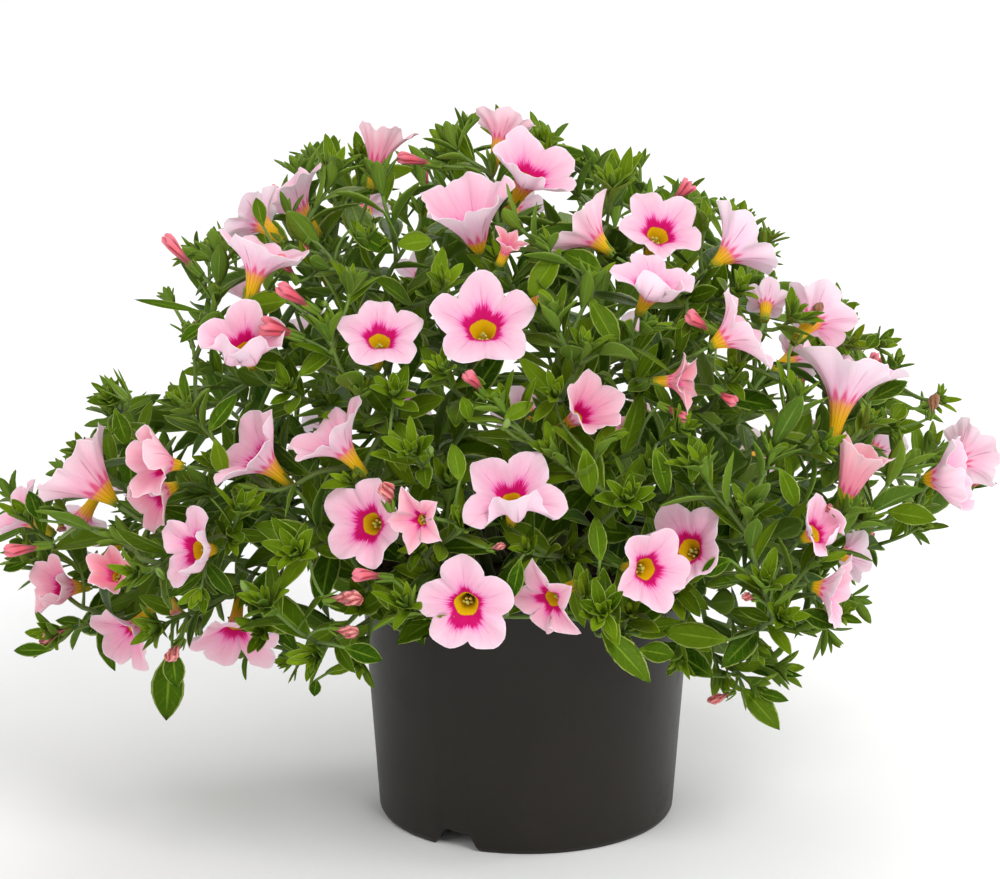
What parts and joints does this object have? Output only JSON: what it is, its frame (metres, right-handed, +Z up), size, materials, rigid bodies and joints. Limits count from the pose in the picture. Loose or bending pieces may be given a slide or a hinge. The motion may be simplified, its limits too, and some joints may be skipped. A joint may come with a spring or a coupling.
{
  "type": "potted calibrachoa plant",
  "caption": "Mounding calibrachoa with pale pink, magenta-ringed trumpet flowers and small green leaves, growing in a round dark nursery pot.",
  "frame": {"origin": "centre of the flat disc under the pot, on the surface it stands on", "axes": "+Z up along the pot's axis, -Y towards the front of the plant, +X to its right"},
  "size_m": [0.3521, 0.2751, 0.2647],
  "materials": {
    "pot_plastic": "satin",
    "growing_medium": "matte",
    "foliage": "satin",
    "petal": "matte"
  },
  "bodies": {
    "root": {"branch_01": "foliage", "branch_02": "foliage", "branch_03": "foliage", "branch_04": "foliage", "branch_05": "foliage", "branch_06": "foliage", "branch_07": "foliage", "branch_08": "foliage", "branch_09": "foliage", "branch_10": "foliage", "branch_11": "foliage", "branch_12": "foliage", "flower_01": "petal", "flower_02": "petal", "flower_03": "petal", "flower_04": "petal", "flower_05": "petal", "flower_06": "petal", "flower_07": "petal", "flower_08": "petal", "flower_09": "petal", "flower_10": "petal", "flower_11": "petal", "flower_12": "petal", "flower_13": "petal", "flower_14": "petal", "flower_15": "petal", "flower_16": "petal", "flower_17": "petal", "flower_18": "petal", "flower_19": "petal", "flower_20": "petal", "flower_21": "petal", "flower_22": "petal", "flower_23": "petal", "flower_24": "petal", "flower_25": "petal", "flower_26": "petal", "flower_27": "petal", "flower_28": "petal", "flower_29": "petal", "flower_30": "petal", "flower_31": "petal", "flower_32": "petal", "flower_33": "petal", "flower_34": "petal", "flower_35": "petal", "flower_36": "petal", "flower_37": "petal", "flower_38": "petal", "flower_39": "petal", "flower_40": "petal", "flower_41": "petal", "flower_42": "petal", "flower_43": "petal", "flower_44": "petal", "flower_45": "petal", "flower_46": "petal", "growing_medium": "growing_medium", "pot": "pot_plastic"}
  },
  "joints": []
}
